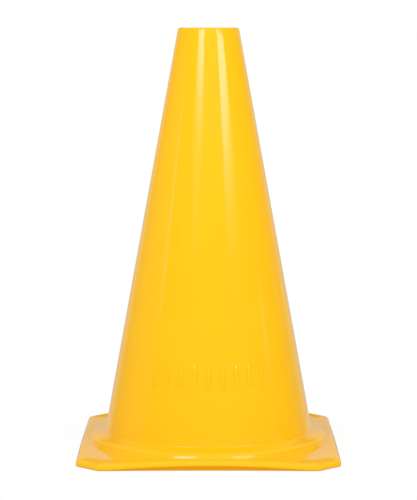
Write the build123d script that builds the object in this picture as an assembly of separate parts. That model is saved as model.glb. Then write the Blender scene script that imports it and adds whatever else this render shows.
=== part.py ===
from build123d import *
from math import atan2, degrees, hypot, radians, tan
import os

# A free-standing sports marker cone, moulded in one thin wall of soft plastic.
# Millimetres. The axis is +Z, the floor is z = 0 and the front faces -Y.
# The moulding is divided where its form changes, and neighbours meet face to face.

# Overall
HEIGHT = 230.0
BASE_WIDTH = 140.0
WALL = 1.4
SMALLEST_ROUND = 0.2

# Open top, sized for a training pole
POLE_DIAMETER = 25.0
POLE_CLEARANCE = 0.5
RIM_LAND = 3.5
RIM_THICKNESS = 2.0
RIM_ROUND = 1.2
RIM_INNER_ROUND = 0.5
RIM_DEPTH = 6.0

# Round shoulder at the foot of the wall
FOOT_ROUND = 1.0
FOOT_RISE = 6.0
SHOULDER_WIDTH = 7.3
SHOULDER_DROP = 1.9
SHOULDER_ROUND = 2.8
RISER_HEIGHT = 3.2
RISER_RUN = 1.2
RISER_FOOT_ROUND = 0.6
RING_LAND = 0.8

# Flat base and its turned-down edge
CORNER_CLIP = 12.0
CORNER_ROUND = 3.0
FLANGE_TOP = 4.5
WEB_LAND = 0.8
LIP_THICKNESS = 3.0
LIP_DRAFT = 4.0
LIP_ROUND = 2.2
LIP_ROUND_SHARE = 0.8
PARTING_HEIGHT = 0.7
PARTING_SETBACK = 0.3

# Shallow arch cut in under each straight side
ARCH_SPAN = 124.0
ARCH_RISE = 2.5
ARCH_SETBACK = 1.6
ARCH_OVERRUN = 1.0

# Plain raised bars on the front of the wall
BAR_COUNT = 9
BAR_SPACING = 7.5
BAR_WIDTH = 2.4
BAR_LENGTH = 12.5
BAR_CENTRE = 46.0
BAR_RELIEF = 0.45

# Radii, worked inward from the side of the base
base_half = BASE_WIDTH / 2
web_half = base_half - LIP_THICKNESS
seam_radius = web_half - WEB_LAND
riser_foot_radius = seam_radius - RING_LAND
shoulder_radius = riser_foot_radius - RISER_RUN
foot_radius = shoulder_radius - SHOULDER_WIDTH
hole_radius = POLE_DIAMETER / 2 + POLE_CLEARANCE
top_radius = hole_radius + RIM_LAND

# Heights, worked upward from the flat base
web_bottom = FLANGE_TOP - WALL
shoulder_height = FLANGE_TOP + RISER_HEIGHT
foot_height = shoulder_height + SHOULDER_DROP
foot_seam_height = foot_height + FOOT_RISE
rim_seam_height = HEIGHT - RIM_DEPTH
rim_under = HEIGHT - RIM_THICKNESS


def wall_radius(height):
    """Outer radius of the straight wall at a height."""
    share = (height - foot_height) / (HEIGHT - foot_height)
    return foot_radius + share * (top_radius - foot_radius)


def moved_corner(before, corner, after, distance):
    """The corner of two lines once both are moved to their right by a distance."""
    first = (corner[0] - before[0], corner[1] - before[1])
    second = (after[0] - corner[0], after[1] - corner[1])
    a = (first[1] / hypot(*first), -first[0] / hypot(*first))
    b = (second[1] / hypot(*second), -second[0] / hypot(*second))
    share = distance / (1 + a[0] * b[0] + a[1] * b[1])
    return (corner[0] + share * (a[0] + b[0]), corner[1] + share * (a[1] + b[1]))


def octagon(half, clip, corner_round):
    """A square outline with its corners cut off and each vertex eased."""
    side = half - clip
    points = [(side, -half), (half, -side), (half, side), (side, half)]
    points += [(-x, -y) for x, y in points]
    return make_face(FilletPolyline(*points, radius=corner_round, close=True).edges())


def ring_of(points, rounds):
    """A solid of revolution about +Z from a closed section of radius and height."""
    section = FilletPolyline(*[(r, 0, z) for r, z in points], radius=rounds, close=True)
    return revolve(make_face(section.edges()), Axis.Z)


# Outer corners of the wall's section, from the top edge to the flat base
top_corner = (top_radius, HEIGHT)
foot_corner = (foot_radius, foot_height)
shoulder_corner = (shoulder_radius, shoulder_height)
riser_corner = (riser_foot_radius, FLANGE_TOP)
seam_corner = (seam_radius, FLANGE_TOP)

# The same corners one wall thickness inside, up to the underside of the rim
inner_riser = moved_corner(shoulder_corner, riser_corner, seam_corner, WALL)
inner_shoulder = moved_corner(foot_corner, shoulder_corner, riser_corner, WALL)
inner_foot = moved_corner(top_corner, foot_corner, shoulder_corner, WALL)
wall_slant = hypot(foot_radius - top_radius, HEIGHT - foot_height)
wall_across = WALL * wall_slant / (HEIGHT - foot_height)
inner_top = (wall_radius(rim_under) - wall_across, rim_under)

outer_points = [(hole_radius, HEIGHT), top_corner, foot_corner, shoulder_corner, riser_corner, seam_corner]
inner_points = [(seam_radius, web_bottom), inner_riser, inner_shoulder, inner_foot, inner_top]
outer_rounds = [0, RIM_ROUND, FOOT_ROUND, SHOULDER_ROUND, RISER_FOOT_ROUND, 0]
inner_shoulder_round = max(SHOULDER_ROUND - WALL, SMALLEST_ROUND)
inner_rounds = [0, RISER_FOOT_ROUND + WALL, inner_shoulder_round, FOOT_ROUND + WALL, RIM_INNER_ROUND]
shell = ring_of(
    [*outer_points, *inner_points, (hole_radius, rim_under)],
    [*outer_rounds, *inner_rounds, 0],
)

# The shell parts in its straight wall, just under the rim and just above the shoulder
rim_plane = Plane.XY.offset(rim_seam_height)
foot_plane = Plane.XY.offset(foot_seam_height)
top_rim = split(shell, rim_plane, keep=Keep.TOP)
below_rim = split(shell, rim_plane, keep=Keep.BOTTOM)
cone_wall = split(below_rim, foot_plane, keep=Keep.TOP)
base_shoulder = split(below_rim, foot_plane, keep=Keep.BOTTOM)

# Flat web from the shoulder's round edge out to the turned-down lip
web_clip = CORNER_CLIP - LIP_THICKNESS * (2 - 2**0.5)
web_outline = octagon(web_half, web_clip, 0)
web_blank = extrude(Pos(0, 0, web_bottom) * web_outline, WALL)
base_web = web_blank - extrude(Pos(0, 0, web_bottom) * Circle(seam_radius), WALL)

# Lip round the base, widest at its parting line, leaning inward above and turned under below
lip_rise = FLANGE_TOP - PARTING_HEIGHT
lip_land = LIP_THICKNESS - lip_rise * tan(radians(LIP_DRAFT))
lip_round = min(LIP_ROUND, LIP_ROUND_SHARE * lip_land)
parting_outline = Pos(0, 0, PARTING_HEIGHT) * octagon(base_half, CORNER_CLIP, CORNER_ROUND)
lip_upper = extrude(parting_outline, lip_rise, taper=LIP_DRAFT)
lip_upper = fillet(lip_upper.faces().sort_by(Axis.Z)[-1].edges(), lip_round)
turned_under = degrees(atan2(PARTING_SETBACK, PARTING_HEIGHT))
lip_lower = extrude(parting_outline, PARTING_HEIGHT, dir=(0, 0, -1), taper=turned_under)
edge_lip = lip_upper + lip_lower - extrude(web_outline, FLANGE_TOP)

# The arch starts outside the lip and slants inward and down, past the floor
arch_half = ARCH_SPAN / 2
arch_top = ThreePointArc((-arch_half, 0), (0, ARCH_RISE), (arch_half, 0))
arch_foot = Polyline((arch_half, 0), (arch_half, -ARCH_RISE), (-arch_half, -ARCH_RISE), (-arch_half, 0))
arch_face = make_face([arch_top, *arch_foot.edges()])
arch_start = (0, -base_half - ARCH_OVERRUN * ARCH_SETBACK, ARCH_OVERRUN * ARCH_RISE)
arch_plane = Plane(arch_start, x_dir=(1, 0, 0), z_dir=(0, -1, 0))
arch_length = (1 + 2 * ARCH_OVERRUN) * hypot(ARCH_SETBACK, ARCH_RISE)
arch_cut = extrude(arch_plane * arch_face, arch_length, dir=(0, ARCH_SETBACK, -ARCH_RISE))
for quarter in range(4):
    edge_lip -= Rot(0, 0, 90 * quarter) * arch_cut

# Raised bars, each a slot shape taken out of a thin skin over the wall
bar_low = BAR_CENTRE - BAR_LENGTH
bar_high = BAR_CENTRE + BAR_LENGTH
skin_inner = [(wall_radius(bar_high), bar_high), (wall_radius(bar_low), bar_low)]
skin_outer = [(radius + BAR_RELIEF, height) for radius, height in reversed(skin_inner)]
skin = ring_of([*skin_inner, *skin_outer], 0)
bar_plane = Plane((0, 0, BAR_CENTRE), x_dir=(0, 0, 1), z_dir=(0, -1, 0))
bar_blank = extrude(bar_plane * SlotOverall(BAR_LENGTH, BAR_WIDTH), base_half)
bars = []
bar_pitch = degrees(BAR_SPACING / wall_radius(BAR_CENTRE))
for index in range(BAR_COUNT):
    turn = bar_pitch * (index - (BAR_COUNT - 1) / 2)
    bars += (skin & (Rot(0, 0, turn) * bar_blank)).solids()
raised_bars = Compound(bars)

pieces = {
    "top_rim": top_rim,
    "cone_wall": cone_wall,
    "base_shoulder": base_shoulder,
    "base_web": base_web,
    "edge_lip": edge_lip,
    "raised_bars": raised_bars,
}
os.makedirs("parts", exist_ok=True)
for name, shape in pieces.items():
    export_step(shape, f"parts/{name}.step")
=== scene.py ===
import bmesh
import bpy
from math import atan2, copysign, cos, hypot, pi, radians, sin, tan
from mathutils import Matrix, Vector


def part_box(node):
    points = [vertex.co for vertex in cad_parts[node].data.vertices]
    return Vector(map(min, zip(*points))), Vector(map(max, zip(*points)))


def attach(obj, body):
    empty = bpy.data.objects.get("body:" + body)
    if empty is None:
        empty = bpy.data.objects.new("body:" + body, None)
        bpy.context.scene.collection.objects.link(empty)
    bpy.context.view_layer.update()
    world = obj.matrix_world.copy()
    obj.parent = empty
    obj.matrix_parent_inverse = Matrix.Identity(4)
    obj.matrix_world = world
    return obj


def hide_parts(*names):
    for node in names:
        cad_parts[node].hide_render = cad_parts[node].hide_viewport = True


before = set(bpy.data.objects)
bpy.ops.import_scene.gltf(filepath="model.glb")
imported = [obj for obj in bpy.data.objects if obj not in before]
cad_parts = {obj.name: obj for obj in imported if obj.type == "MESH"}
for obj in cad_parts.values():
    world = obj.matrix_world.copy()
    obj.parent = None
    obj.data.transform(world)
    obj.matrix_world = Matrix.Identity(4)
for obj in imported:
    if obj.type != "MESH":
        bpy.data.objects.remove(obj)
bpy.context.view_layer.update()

# A yellow marker cone in soft moulded plastic, on a white floor.
# Metres. The axis is +Z, the floor is z = 0 and the front faces -Y.
MM = 0.001

# Heights and widths of the moulding
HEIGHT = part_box("top_rim")[1][2]
RIM_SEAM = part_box("top_rim")[0][2]
FOOT_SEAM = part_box("cone_wall")[0][2]
BASE_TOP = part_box("base_web")[1][2]
BASE_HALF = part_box("edge_lip")[1][0]
WEB_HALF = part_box("base_web")[1][0]
LIP_WIDTH = BASE_HALF - WEB_HALF
CORNER_CLIP = 12.0 * MM

# Wall and open top
WALL = 1.4 * MM
RIM_THICKNESS = 2.0 * MM
RIM_LAND = 3.5 * MM
HOLE_RADIUS = 13.0 * MM
TOP_RADIUS = HOLE_RADIUS + RIM_LAND

# Round shoulder at the foot of the wall, worked inward and upward from the flat base
WEB_LAND, RING_LAND = 0.8 * MM, 0.8 * MM
RISER_RUN, RISER_HEIGHT = 1.2 * MM, 3.2 * MM
SHOULDER_WIDTH, SHOULDER_DROP = 7.3 * MM, 1.9 * MM
RING_RADIUS = WEB_HALF - WEB_LAND
RISER_RADIUS = RING_RADIUS - RING_LAND
SHOULDER_RADIUS = RISER_RADIUS - RISER_RUN
SHOULDER_HEIGHT = BASE_TOP + RISER_HEIGHT
FOOT_RADIUS = SHOULDER_RADIUS - SHOULDER_WIDTH
FOOT_HEIGHT = SHOULDER_HEIGHT + SHOULDER_DROP

# Rounds of the moulding
RIM_ROUND = 1.2 * MM
HOLE_ROUND = 0.4 * MM
FOOT_ROUND = 0.9 * MM
SHOULDER_ROUND = 3.0 * MM
RISER_FOOT_ROUND = 1.1 * MM
CORNER_ROUND = 3.0 * MM
LIP_ROUND = 2.2 * MM

# The lip leans inward above its parting line and is turned under below it
LIP_DRAFT = radians(4)
PARTING_HEIGHT = 0.7 * MM
PARTING_SETBACK = 0.3 * MM

# A shallow arch under each side
ARCH_HALF = 62.0 * MM
ARCH_RISE = 2.5 * MM
ARCH_SETBACK = 1.6 * MM

# The soft base bows up a little along its sides, and its front corners settle lowest
BOW_UP, BOW_REACH, BOW_SPAN = 1.2 * MM, 9.0 * MM, 53.0 * MM
DROOP, DROOP_FORWARD = 0.16 * MM, 1.44 * MM

# Plain raised bars on the front of the wall
BAR_COUNT, BAR_SPACING, BAR_CENTRE = 9, 7.5 * MM, 46.0 * MM
BAR_WIDTH, BAR_LENGTH, BAR_RELIEF = 2.4 * MM, 12.5 * MM, 0.3 * MM
BAR_END_ROUND, BAR_EDGE_ROUND = 0.49 * BAR_WIDTH, 0.8 * BAR_RELIEF

# How finely curves and sides are divided
TURN_STEPS, ROUND_STEPS = 192, 6
SIDE_CUTS, CLIP_CUTS, WEB_CUTS = 39, 7, 9
CORNER_STEPS, LIP_STEPS = 4, 7
BAR_END_STEPS, BAR_EDGE_STEPS = 6, 4

# Slack in place and length, the normal's Z under which a face is steep, and angles to smooth over
NEAR, DOUBLES, LENGTH_SLACK = 0.01 * MM, 0.002 * MM, 1.0 * MM
STEEP = 0.5
SMOOTH_ANGLE, BAR_SMOOTH_ANGLE = radians(35), radians(50)


def wall_radius(height):
    """Outer radius of the straight wall at a height."""
    share = (height - FOOT_HEIGHT) / (HEIGHT - FOOT_HEIGHT)
    return FOOT_RADIUS + share * (TOP_RADIUS - FOOT_RADIUS)


def moved_corner(before, corner, after, distance):
    """The corner of two lines once both are moved to their right by a distance."""
    first = (corner[0] - before[0], corner[1] - before[1])
    second = (after[0] - corner[0], after[1] - corner[1])
    a = (first[1] / hypot(*first), -first[0] / hypot(*first))
    b = (second[1] / hypot(*second), -second[0] / hypot(*second))
    share = distance / (1 + a[0] * b[0] + a[1] * b[1])
    return (corner[0] + share * (a[0] + b[0]), corner[1] + share * (a[1] + b[1]))


# Modelling by hand

def begin(name, add, **settings):
    """Adds a primitive at the origin, names it and goes into edit mode."""
    bpy.ops.object.select_all(action="DESELECT")
    add(**settings)
    piece = bpy.context.active_object
    piece.name = piece.data.name = name
    bpy.ops.object.mode_set(mode="EDIT")
    return piece


def choose(piece, verts=None, edges=None):
    """Selects only the vertices, or only the edges, that pass a test."""
    bpy.ops.mesh.select_mode(type="VERT" if verts else "EDGE")
    bpy.ops.mesh.select_all(action="DESELECT")
    shape = bmesh.from_edit_mesh(piece.data)
    test = verts or edges
    members = shape.verts if verts else shape.edges
    for member in members:
        if test(member):
            member.select_set(True)
    shape.select_flush_mode()
    bmesh.update_edit_mesh(piece.data)


def finish_piece(piece, smooth=SMOOTH_ANGLE):
    """Closes doubles, points faces outward, leaves edit mode and smooths."""
    bpy.ops.mesh.select_mode(type="VERT")
    bpy.ops.mesh.select_all(action="SELECT")
    bpy.ops.mesh.remove_doubles(threshold=DOUBLES)
    bpy.ops.mesh.normals_make_consistent(inside=False)
    bpy.ops.object.mode_set(mode="OBJECT")
    bpy.ops.object.shade_smooth_by_angle(angle=smooth)
    return piece


def is_at(vertex, radius, height):
    """Whether a vertex of a flat section lies at a radius and a height."""
    return hypot(vertex.co.x - radius, vertex.co.z - height) < NEAR


def turned_piece(name, section):
    """Draws a closed section of (radius, height, round), eases its corners and spins it."""
    piece = begin(name, bpy.ops.mesh.primitive_plane_add, size=MM)
    bpy.ops.mesh.merge(type="CENTER")
    here = (0.0, 0.0)
    for index, (radius, height, _) in enumerate(section):
        step = (radius - here[0], 0, height - here[1])
        if index == 0:
            bpy.ops.transform.translate(value=step)
        else:
            bpy.ops.mesh.extrude_vertices_move(TRANSFORM_OT_translate={"value": step})
        here = (radius, height)
    ends = [section[0][:2], section[-1][:2]]
    choose(piece, verts=lambda v: any(is_at(v, *end) for end in ends))
    bpy.ops.mesh.edge_face_add()
    count = len(section)
    for index, (radius, height, rounding) in enumerate(section):
        if not rounding:
            continue
        before, after = section[index - 1], section[(index + 1) % count]
        way_in = atan2(height - before[1], radius - before[0])
        way_out = atan2(after[1] - height, after[0] - radius)
        turn = abs((way_out - way_in + pi) % (2 * pi) - pi)
        choose(piece, verts=lambda v: is_at(v, radius, height))
        bpy.ops.mesh.bevel(
            affect="VERTICES", offset=rounding * tan(turn / 2), segments=ROUND_STEPS, clamp_overlap=False
        )
    bpy.ops.mesh.select_all(action="SELECT")
    bpy.ops.mesh.spin(steps=TURN_STEPS, angle=2 * pi, center=(0, 0, 0), axis=(0, 0, 1))
    return piece


def octagon(name, half, clip, height):
    """A square face with its corners cut off, left in edit mode."""
    piece = begin(name, bpy.ops.mesh.primitive_plane_add, size=2 * half)
    bpy.ops.transform.translate(value=(0, 0, height))
    bpy.ops.mesh.bevel(affect="VERTICES", offset=clip, segments=1)
    return piece


def divide_sides(piece, half, clip):
    """Divides an octagon's long sides and its clips, so that they can bend and be bridged."""
    side = 2 * (half - clip)
    choose(piece, edges=lambda e: e.calc_length() > side - LENGTH_SLACK)
    bpy.ops.mesh.subdivide(number_cuts=SIDE_CUTS)
    divided = side / (SIDE_CUTS + 1)
    choose(piece, edges=lambda e: e.calc_length() > divided + LENGTH_SLACK)
    bpy.ops.mesh.subdivide(number_cuts=CLIP_CUTS)


# Bow of the base

def smooth_step(value):
    """Goes smoothly from 0 to 1 as the value does."""
    value = min(max(value, 0.0), 1.0)
    return value * value * (3 - 2 * value)


def bow(x, y):
    """How far the flat of the base is lifted at a place."""
    from_side = BASE_HALF - max(abs(x), abs(y))
    from_clip = (2 * BASE_HALF - CORNER_CLIP - abs(x) - abs(y)) / 2**0.5
    out = 1 - smooth_step(min(from_side, from_clip) / BOW_REACH)
    along = abs(x * y) / (x**4 + y**4) ** 0.25 / BOW_SPAN
    droop = DROOP - DROOP_FORWARD * y / BASE_HALF
    return out * (BOW_UP - (BOW_UP + droop) * along**2)


def bow_base(piece, on_floor=False):
    """Lifts a piece with the bow, but not its foot on the floor, and keeps it within the base."""
    shape = bmesh.from_edit_mesh(piece.data)
    for v in shape.verts:
        share = (v.co.z / BASE_TOP) ** 2 if on_floor else 1.0
        v.co.z += share * bow(v.co.x, v.co.y)
        v.co.x = min(max(v.co.x, -BASE_HALF), BASE_HALF)
        v.co.y = min(max(v.co.y, -BASE_HALF), BASE_HALF)
    bmesh.update_edit_mesh(piece.data)


# Outer corners of the section, from the top edge to the flat base, and the slanted wall's level width

top_corner = (TOP_RADIUS, HEIGHT)
foot_corner = (FOOT_RADIUS, FOOT_HEIGHT)
shoulder_corner = (SHOULDER_RADIUS, SHOULDER_HEIGHT)
riser_corner = (RISER_RADIUS, BASE_TOP)
ring_corner = (RING_RADIUS, BASE_TOP)
wall_across = WALL * hypot(FOOT_RADIUS - TOP_RADIUS, HEIGHT - FOOT_HEIGHT) / (HEIGHT - FOOT_HEIGHT)


# Pieces of the moulding

def make_top_rim():
    """The flat rim round the open top."""
    under = HEIGHT - RIM_THICKNESS
    outer = wall_radius(RIM_SEAM)
    piece = turned_piece("top_rim_skin", [
        (outer, RIM_SEAM, 0),
        (*top_corner, RIM_ROUND),
        (HOLE_RADIUS, HEIGHT, HOLE_ROUND),
        (HOLE_RADIUS, under, HOLE_ROUND),
        (wall_radius(under) - wall_across, under, HOLE_ROUND),
        (outer - wall_across, RIM_SEAM, 0),
    ])
    return finish_piece(piece)


def make_cone_wall():
    """The straight tapered wall."""
    low, high = wall_radius(FOOT_SEAM), wall_radius(RIM_SEAM)
    piece = turned_piece("cone_wall_skin", [
        (low, FOOT_SEAM, 0),
        (high, RIM_SEAM, 0),
        (high - wall_across, RIM_SEAM, 0),
        (low - wall_across, FOOT_SEAM, 0),
    ])
    return finish_piece(piece)


def make_base_shoulder():
    """The foot of the wall, the sloping round shoulder and its riser."""
    outer = wall_radius(FOOT_SEAM)
    inner_riser = moved_corner(shoulder_corner, riser_corner, ring_corner, WALL)
    inner_shoulder = moved_corner(foot_corner, shoulder_corner, riser_corner, WALL)
    inner_foot = moved_corner(top_corner, foot_corner, shoulder_corner, WALL)
    piece = turned_piece("base_shoulder_skin", [
        (outer, FOOT_SEAM, 0),
        (*foot_corner, FOOT_ROUND),
        (*shoulder_corner, SHOULDER_ROUND),
        (*riser_corner, RISER_FOOT_ROUND),
        (*ring_corner, 0),
        (RING_RADIUS, BASE_TOP - WALL, 0),
        (*inner_riser, RISER_FOOT_ROUND + WALL),
        (*inner_shoulder, SHOULDER_ROUND - WALL),
        (*inner_foot, FOOT_ROUND + WALL),
        (outer - wall_across, FOOT_SEAM, 0),
    ])
    bow_base(piece)
    return finish_piece(piece)


def make_base_web():
    """The flat web between the shoulder's round edge and the lip."""
    clip = CORNER_CLIP - LIP_WIDTH * (2 - 2**0.5)
    piece = octagon("base_web_skin", WEB_HALF, clip, BASE_TOP)
    bpy.ops.mesh.delete(type="ONLY_FACE")
    divide_sides(piece, WEB_HALF, clip)
    around = 4 * (SIDE_CUTS + 1) + 4 * (CLIP_CUTS + 1)
    middle = (0, 0, BASE_TOP)
    bpy.ops.mesh.primitive_circle_add(vertices=around, radius=RING_RADIUS, location=middle)
    bpy.ops.mesh.select_all(action="SELECT")
    bpy.ops.mesh.bridge_edge_loops(number_cuts=WEB_CUTS, interpolation="LINEAR")
    bpy.ops.mesh.select_all(action="SELECT")
    bpy.ops.mesh.extrude_region_move(TRANSFORM_OT_translate={"value": (0, 0, -WALL)})
    bow_base(piece)
    return finish_piece(piece)


def arch_height(place):
    """Height of the arch under one of the four sides."""
    along = min(abs(place.x), abs(place.y))
    return ARCH_RISE * (1 - (along / ARCH_HALF) ** 2)


def make_edge_lip():
    """The turned-down edge, with its parting line and the arch under each side."""
    rise = BASE_TOP - PARTING_HEIGHT
    draft = rise * tan(LIP_DRAFT)
    piece = octagon("edge_lip_skin", BASE_HALF, CORNER_CLIP, PARTING_HEIGHT)
    corner_cut = CORNER_ROUND * tan(pi / 8)
    bpy.ops.mesh.select_all(action="SELECT")
    bpy.ops.mesh.bevel(affect="VERTICES", offset=corner_cut, segments=CORNER_STEPS)
    divide_sides(piece, BASE_HALF, CORNER_CLIP + corner_cut)
    # The face rises into the leaning side of the lip, then its flat land
    bpy.ops.mesh.select_all(action="SELECT")
    bpy.ops.mesh.inset(thickness=draft, depth=rise)
    bpy.ops.mesh.inset(thickness=LIP_WIDTH - draft)
    bpy.ops.mesh.delete(type="FACE")
    # The inner side goes down to the floor
    choose(piece, edges=lambda e: e.is_boundary and e.verts[0].co.z > rise)
    bpy.ops.mesh.extrude_region_move(TRANSFORM_OT_translate={"value": (0, 0, -BASE_TOP)})
    # The outer side turns under, in to the floor
    choose(piece, edges=lambda e: e.is_boundary and abs(e.verts[0].co.z - PARTING_HEIGHT) < NEAR)
    bpy.ops.mesh.extrude_region_move(TRANSFORM_OT_translate={"value": (0, 0, -PARTING_HEIGHT)})
    drawn_in = 1 - PARTING_SETBACK / BASE_HALF
    bpy.ops.transform.resize(value=(drawn_in, drawn_in, 1))
    choose(piece, edges=lambda e: e.is_boundary)
    bpy.ops.mesh.bridge_edge_loops()
    # The arch lifts the parting line and draws in the lower edge under each side
    shape = bmesh.from_edit_mesh(piece.data)
    for v in shape.verts:
        outside = max(abs(v.co.x), abs(v.co.y)) > BASE_HALF - 2 * PARTING_SETBACK
        if outside and abs(v.co.z - PARTING_HEIGHT) < NEAR:
            v.co.z = max(v.co.z, arch_height(v.co))
        elif outside and abs(v.co.z) < NEAR:
            inward = max(ARCH_SETBACK * arch_height(v.co) / ARCH_RISE - PARTING_SETBACK, 0.0)
            if abs(v.co.x) > abs(v.co.y):
                v.co.x -= copysign(inward, v.co.x)
            else:
                v.co.y -= copysign(inward, v.co.y)
    bmesh.update_edit_mesh(piece.data)
    # The outer top edge is eased: its corner is less than square, by the side's lean
    almost_square = pi / 2 - LIP_DRAFT / 2

    def outer_top(edge):
        level = all(abs(v.co.z - BASE_TOP) < NEAR for v in edge.verts)
        if not level or len(edge.link_faces) != 2:
            return False
        steepest = min(abs(face.normal.z) for face in edge.link_faces)
        return steepest < STEEP and edge.calc_face_angle() < almost_square

    choose(piece, edges=outer_top)
    setback = LIP_ROUND * tan((pi / 2 - LIP_DRAFT) / 2)
    bpy.ops.mesh.bevel(affect="EDGES", offset=setback, segments=LIP_STEPS)
    bow_base(piece, on_floor=True)
    return finish_piece(piece)


def make_raised_bars():
    """Plain bars half sunk in the wall, modelled once and copied round its front."""
    piece = begin("raised_bars_skin", bpy.ops.mesh.primitive_cube_add, size=1)
    bpy.ops.transform.resize(value=(BAR_WIDTH, 2 * BAR_RELIEF, BAR_LENGTH))
    choose(piece, edges=lambda e: abs(e.verts[0].co.y - e.verts[1].co.y) > BAR_RELIEF)
    bpy.ops.mesh.bevel(affect="EDGES", offset=BAR_END_ROUND, segments=BAR_END_STEPS)
    choose(piece, edges=lambda e: e.verts[0].co.y < 0 and e.verts[1].co.y < 0)
    bpy.ops.mesh.bevel(affect="EDGES", offset=BAR_EDGE_ROUND, segments=BAR_EDGE_STEPS)
    bars = [finish_piece(piece, smooth=BAR_SMOOTH_ANGLE)]
    while len(bars) < BAR_COUNT:
        bpy.ops.object.duplicate()
        bars.append(bpy.context.active_object)
    lean = atan2(FOOT_RADIUS - TOP_RADIUS, HEIGHT - FOOT_HEIGHT)
    radius = wall_radius(BAR_CENTRE)
    for index, bar in enumerate(bars):
        turn = BAR_SPACING / radius * (index - (BAR_COUNT - 1) / 2)
        bar.rotation_euler = (-lean, 0, turn)
        bar.location = (radius * sin(turn), -radius * cos(turn), BAR_CENTRE)
        bar.select_set(True)
    bpy.context.view_layer.objects.active = piece
    bpy.ops.object.transform_apply(location=True, rotation=True, scale=True)
    bpy.ops.object.join()
    return piece


# Materials

class Signal:
    """One output of a node tree; arithmetic on it adds Math nodes."""

    def __init__(self, socket):
        self.socket = socket

    def node(self, kind, settings=None, output=0, **inputs):
        """Adds a node to the tree, with its inputs by name or, as i0, i1 and so on, by place."""
        tree = self.socket.id_data
        made = tree.nodes.new(kind)
        for name, value in (settings or {}).items():
            setattr(made, name, value)
        for name, value in inputs.items():
            by_place = name[0] == "i" and name[1:].isdigit()
            key = int(name[1:]) if by_place else name.replace("_", " ")
            if isinstance(value, Signal):
                tree.links.new(value.socket, made.inputs[key])
            else:
                made.inputs[key].default_value = value
        return Signal(made.outputs[output])

    def feed(self, node, name):
        """Links the output to an input of a node that the tree has."""
        self.socket.id_data.links.new(self.socket, node.inputs[name])

    def math(self, operation, *others):
        values = {f"i{place}": value for place, value in enumerate((self, *others))}
        return self.node("ShaderNodeMath", {"operation": operation}, **values)

    def __add__(self, other):
        return self.math("ADD", other)

    def __mul__(self, other):
        return self.math("MULTIPLY", other)

    def __sub__(self, other):
        return self.math("SUBTRACT", other)

    def __rsub__(self, other):
        return (self * -1.0) + other

    __radd__, __rmul__ = __add__, __mul__

    def clamped(self):
        return self.math("MAXIMUM", 0.0).math("MINIMUM", 1.0)

    def mix(self, first, second):
        """Goes from one colour to another as the value goes from 0 to 1."""
        settings = {"data_type": "RGBA"}
        return self.node("ShaderNodeMix", settings, output=2, i0=self, i6=first, i7=second)


def noise(place, scale):
    return place.node("ShaderNodeTexNoise", Vector=place, Scale=scale)


def ramp(value, low, high, start=0.0):
    """A smooth step from a start to 1 between two values."""
    settings = {"interpolation_type": "SMOOTHSTEP"}
    limits = {"From_Min": low, "From_Max": high, "To_Min": start}
    return value.node("ShaderNodeMapRange", settings, Value=value, **limits)


def axes(place):
    """The three components of a vector."""
    return [place.node("ShaderNodeSeparateXYZ", output=axis, Vector=place) for axis in "XYZ"]


def seen_by(place, kind):
    """1 for rays of one kind, else 0."""
    return place.node("ShaderNodeLightPath", output=f"Is {kind} Ray")


def mirrored(place):
    """1 for rays that left a glossy or a clear surface."""
    return seen_by(place, "Glossy").math("MAXIMUM", seen_by(place, "Transmission"))


# Soft clouds of tone, upright flow lines, slight ripples and a fine moulded grain
DEEP_YELLOW, PALE_YELLOW = (0.94, 0.48, 0.0045, 1.0), (0.98, 0.54, 0.006, 1.0)
CLOUD_SCALE, FLOW_SCALE, RIPPLE_SCALE, GRAIN_SCALE = 14.0, 180.0, 55.0, 2600.0
FLOW_STRETCH = (1.0, 1.0, 0.06)
CLOUD_TONE, FLOW_TONE = 0.7, 0.3
ROUGHNESS, CLOUD_ROUGHNESS, GRAIN_ROUGHNESS = 0.08, 0.04, 0.03
RIPPLE_RELIEF, FLOW_RELIEF, GRAIN_RELIEF = 0.7, 0.2, 0.1
RELIEF_STRENGTH, RELIEF_DEPTH = 0.25, 0.2 * MM
PLASTIC_IOR = 1.5

# Below the parting line the lip is turned under, and its colour goes deep orange there: painted shade
# for the shadowed face and gap under the lip, lit only through the plastic
PAINTED_SHADE_ORANGE = (0.95, 0.38, 0.0005, 1.0)
PAINTED_SHADE_RISE, PAINTED_SHADE_EDGE = 2.8 * MM, 0.2 * MM


def yellow_plastic():
    material = bpy.data.materials.new("yellow_plastic_skin")
    material.use_nodes = True
    surface = material.node_tree.nodes["Principled BSDF"]
    place = Signal(surface.outputs[0]).node("ShaderNodeTexCoord", output="Object")
    x, y, z = axes(place)
    clouds = noise(place, CLOUD_SCALE)
    flow = noise(place.node("ShaderNodeMapping", Vector=place, Scale=FLOW_STRETCH), FLOW_SCALE)
    ripple = noise(place, RIPPLE_SCALE)
    grain = noise(place, GRAIN_SCALE)
    tone = clouds * CLOUD_TONE + flow * FLOW_TONE
    body = tone.mix(DEEP_YELLOW, PALE_YELLOW)
    # Painted shade: below the arched parting line the colour goes deep orange
    along = x.math("ABSOLUTE").math("MINIMUM", y.math("ABSOLUTE")) * (1.0 / ARCH_HALF)
    parting = (1.0 - along * along) * PAINTED_SHADE_RISE
    under = (parting.math("MAXIMUM", PARTING_HEIGHT) - z) * (1.0 / PAINTED_SHADE_EDGE)
    colour = under.clamped().mix(body, PAINTED_SHADE_ORANGE)
    colour.feed(surface, "Base Color")
    roughness = ROUGHNESS + clouds * CLOUD_ROUGHNESS + grain * GRAIN_ROUGHNESS
    roughness.feed(surface, "Roughness")
    surface.inputs["IOR"].default_value = PLASTIC_IOR
    relief = ripple * RIPPLE_RELIEF + grain * GRAIN_RELIEF + flow * FLOW_RELIEF
    bump = relief.node("ShaderNodeBump", Strength=RELIEF_STRENGTH, Distance=RELIEF_DEPTH, Height=relief)
    bump.feed(surface, "Normal")
    return material


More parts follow.
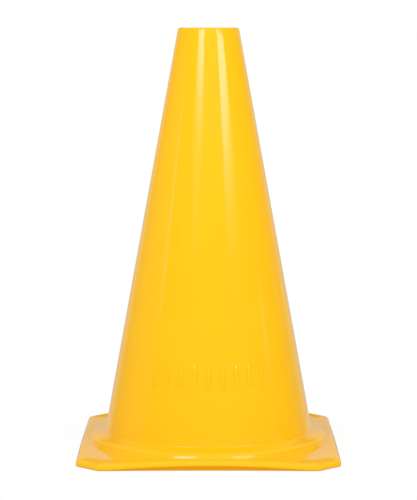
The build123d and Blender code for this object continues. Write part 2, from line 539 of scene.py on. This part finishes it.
# A round of floor under the cone, and the distances from its middle where its tones change
FLOOR_RADIUS, FLOOR_SIDES, FLOOR_DROP = 0.18, 96, 0.05 * MM
FLOOR_PAINT, FLOOR_ROUGHNESS, FLOOR_SPECULAR = (0.96, 0.96, 0.96, 1.0), 0.9, 0.1
FLOOR_GREY, SHADED_GREY = (0.65, 0.65, 0.65, 1.0), (0.1, 0.1, 0.1, 1.0)
FADE_RADII, FADE_START = (0.08, 0.17), 0.85
SHADED_RADII = (0.07, 0.13)


def white_floor():
    """Takes the cone's shadow near it and fades to plain white further off."""
    material = bpy.data.materials.new("white_floor")
    material.use_nodes = True
    nodes = material.node_tree.nodes
    paint = nodes["Principled BSDF"]
    paint.inputs["Base Color"].default_value = FLOOR_PAINT
    paint.inputs["Roughness"].default_value = FLOOR_ROUGHNESS
    paint.inputs["Specular IOR Level"].default_value = FLOOR_SPECULAR
    painted = Signal(paint.outputs[0])
    place = painted.node("ShaderNodeTexCoord", output="Object")
    away = place.node("ShaderNodeVectorMath", {"operation": "LENGTH"}, output="Value", i0=place)
    white = place.node("ShaderNodeEmission", Strength=1.0)
    fade = ramp(away, *FADE_RADII, start=FADE_START)
    seen = place.node("ShaderNodeMixShader", i0=fade, i1=painted, i2=white)
    # Bounced light finds a grey floor, and reflections find it dark close round the cone, a painted
    # shadow
    shaded = (1.0 - ramp(away, *SHADED_RADII)) * mirrored(place)
    grey = shaded.mix(FLOOR_GREY, SHADED_GREY)
    dim = place.node("ShaderNodeEmission", Color=grey, Strength=1.0)
    camera_ray = seen_by(place, "Camera")
    floor_light = place.node("ShaderNodeMixShader", i0=camera_ray, i1=dim, i2=seen)
    floor_light.feed(nodes["Material Output"], "Surface")
    return material


# The cone

plastic = yellow_plastic()
pieces = {
    "top_rim": make_top_rim(),
    "cone_wall": make_cone_wall(),
    "base_shoulder": make_base_shoulder(),
    "base_web": make_base_web(),
    "edge_lip": make_edge_lip(),
    "raised_bars": make_raised_bars(),
}
for node, piece in pieces.items():
    piece.data.materials.clear()
    piece.data.materials.append(plastic)
    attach(piece, "root")
    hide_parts(node)

# Floor

bpy.ops.object.select_all(action="DESELECT")
bpy.ops.mesh.primitive_circle_add(
    vertices=FLOOR_SIDES, radius=FLOOR_RADIUS, fill_type="NGON", location=(0, 0, -FLOOR_DROP)
)
floor = bpy.context.active_object
floor.name = "floor"
floor.data.materials.append(white_floor())

# Soft light from all round, with a little more from the front and from above
FILL, FRONT, OVERHEAD = 0.85, 0.22, 0.06

# What reflections find: a backdrop behind the cone, a pale ceiling and a dim room
ROOM, BACKDROP_FOOT, BACKDROP, CEILING = 0.05, 0.53, 0.57, 0.35

# Sides of the backdrop, by the cosine of the turn from straight behind
BACKDROP_SIDES = (0.62, 0.86)

# Foot and end of the backdrop and edge of the ceiling, by the sine of the angle above the horizon
BACKDROP_RISE, BACKDROP_END, CEILING_EDGE = (0.0, 0.15), (0.31, 0.44), (0.4, 0.7)


def studio_world():
    """Plain white for the camera, soft light for the cone, and a studio for its reflections."""
    world = bpy.data.worlds.new("studio")
    world.use_nodes = True
    background = world.node_tree.nodes["Background"]
    background.inputs["Color"].default_value = (1.0, 1.0, 1.0, 1.0)
    way = Signal(background.outputs[0]).node("ShaderNodeTexCoord", output="Generated")
    across, behind, above = axes(way)
    level = (across * across + behind * behind).math("SQRT")
    sides = ramp(behind.math("DIVIDE", level), *BACKDROP_SIDES)
    sweep = sides * (1.0 - ramp(above, *BACKDROP_END))
    backdrop = ramp(above, *BACKDROP_RISE) * (BACKDROP - BACKDROP_FOOT) + BACKDROP_FOOT
    ceiling = ramp(above, *CEILING_EDGE) * (CEILING - ROOM)
    studio = sweep * (backdrop - ROOM) + ceiling + ROOM
    soft = (behind * -1.0).clamped() * FRONT + above.clamped() * OVERHEAD + FILL
    camera_ray, mirror_ray = seen_by(way, "Camera"), mirrored(way)
    indirect = mirror_ray * studio + (1.0 - mirror_ray) * soft
    strength = camera_ray + (1.0 - camera_ray) * indirect
    strength.feed(background, "Strength")
    return world


bpy.context.scene.world = studio_world()

# Lamps all round, aimed at the middle of the cone
AIM_HEIGHT = 0.12
LAMP_DISTANCE = 4.0
LAMP_TINT = (0.76, 0.8, 1.0)


def softbox(name, azimuth, width, low, high, radiance):
    """A panel of light square on to the cone; angles in degrees, azimuth 0 on the camera's side."""
    middle = radians((low + high) / 2)
    turn = radians(azimuth)
    reach = LAMP_DISTANCE * cos(middle)
    rise = LAMP_DISTANCE * sin(middle)
    place = (reach * sin(turn), -reach * cos(turn), AIM_HEIGHT + rise)
    bpy.ops.object.light_add(type="AREA", location=place, rotation=(pi / 2 - middle, 0, turn))
    lamp = bpy.context.active_object
    lamp.name = name
    lamp.visible_camera = False
    lamp.data.shape = "RECTANGLE"
    lamp.data.color = LAMP_TINT
    lamp.data.size = 2 * reach * tan(radians(width / 2))
    lamp.data.size_y = 2 * LAMP_DISTANCE * tan(radians((high - low) / 2))
    lamp.data.energy = radiance * pi * lamp.data.size * lamp.data.size_y


softbox("left_lamp", -26, 21, 19.8, 38, 7.0)
softbox("left_glow", -25, 10, 15.4, 19.8, 0.3)
softbox("left_panel", -105, 60, -12, 45, 0.15)
softbox("left_strip", -73, 5, 8.7, 16, 1.05)
softbox("right_high_lamp", 38, 18, 23, 42, 4.0)
softbox("right_lamp", 44, 23, 17.6, 23, 7.0)
softbox("right_low_lamp", 42, 20, 16, 17.6, 1.4)
softbox("right_glow", 42, 18, 14.8, 16, 0.9)
softbox("right_panel", 128, 30, -12, 45, 0.15)
softbox("right_strip", 82, 5, 5.9, 7.4, 1.2)
softbox("front_panel", 0, 56, 18.5, 45, 0.28)

# Camera: its lens in pixels of the picture, its sensor in millimetres and its tilt in radians
LENS_PIXELS, IMAGE_HEIGHT, SENSOR = 2093.6, 500, 36.0
CAMERA_DISTANCE, CAMERA_HEIGHT, CAMERA_TILT = 1.1429, 0.2297, 0.1056
bpy.ops.object.camera_add(
    location=(0, -CAMERA_DISTANCE, CAMERA_HEIGHT), rotation=(pi / 2 - CAMERA_TILT, 0, 0)
)
camera = bpy.context.active_object
camera.data.sensor_width = SENSOR
camera.data.lens = LENS_PIXELS / IMAGE_HEIGHT * SENSOR
bpy.context.scene.camera = camera
bpy.context.scene.view_settings.view_transform = "Standard"
